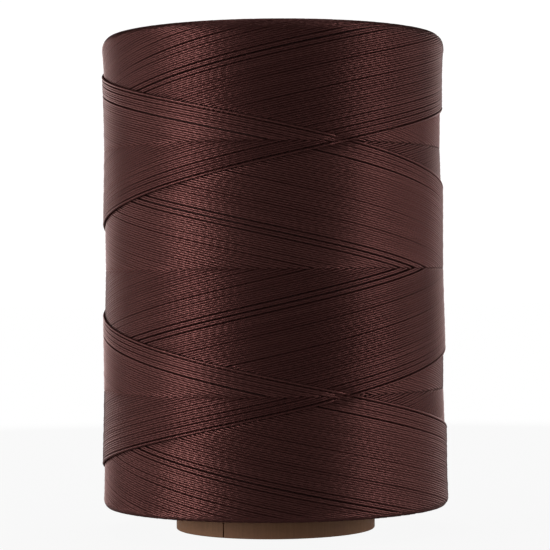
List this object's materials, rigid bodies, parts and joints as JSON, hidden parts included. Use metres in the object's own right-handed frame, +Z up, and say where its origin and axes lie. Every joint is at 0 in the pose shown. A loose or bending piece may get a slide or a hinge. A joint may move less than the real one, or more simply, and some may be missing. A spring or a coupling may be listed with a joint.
{
  "type": "wound leather thread spool",
  "caption": "Cylindrical cross-wound spool of dark brown leather thread on a straight kraft-paper tube, open through the middle to sit on a spool pin.",
  "frame": {"origin": "centre of the paper tube's bottom end, on the surface that the spool stands on", "axes": "+Z up the tube's axis; -Y is the front, the side whose lower left carries the outer ply's upright seam; +X is to the right seen from the front"},
  "size_m": [0.0518, 0.0518, 0.0743],
  "materials": {
    "kraft_paper": "matt brown kraft, lightly calendered, with upright fibre streaks and burnished cut edges",
    "kraft_paper_inner": "matt unbleached kraft plies, glued",
    "leather_thread": "dark reddish-brown plied polyester thread with a light wax finish and a satin sheen along each turn"
  },
  "bodies": {
    "root": {"tube_inner_ply": "kraft_paper_inner", "tube_second_ply": "kraft_paper_inner", "tube_third_ply": "kraft_paper_inner", "tube_fourth_ply": "kraft_paper_inner", "tube_outer_ply": "kraft_paper", "thread_start_tail": "leather_thread", "thread_first_layers": "leather_thread", "thread_inner_build": "leather_thread", "thread_outer_build": "leather_thread", "thread_last_layers": "leather_thread", "thread_tucked_end": "leather_thread"}
  },
  "joints": []
}
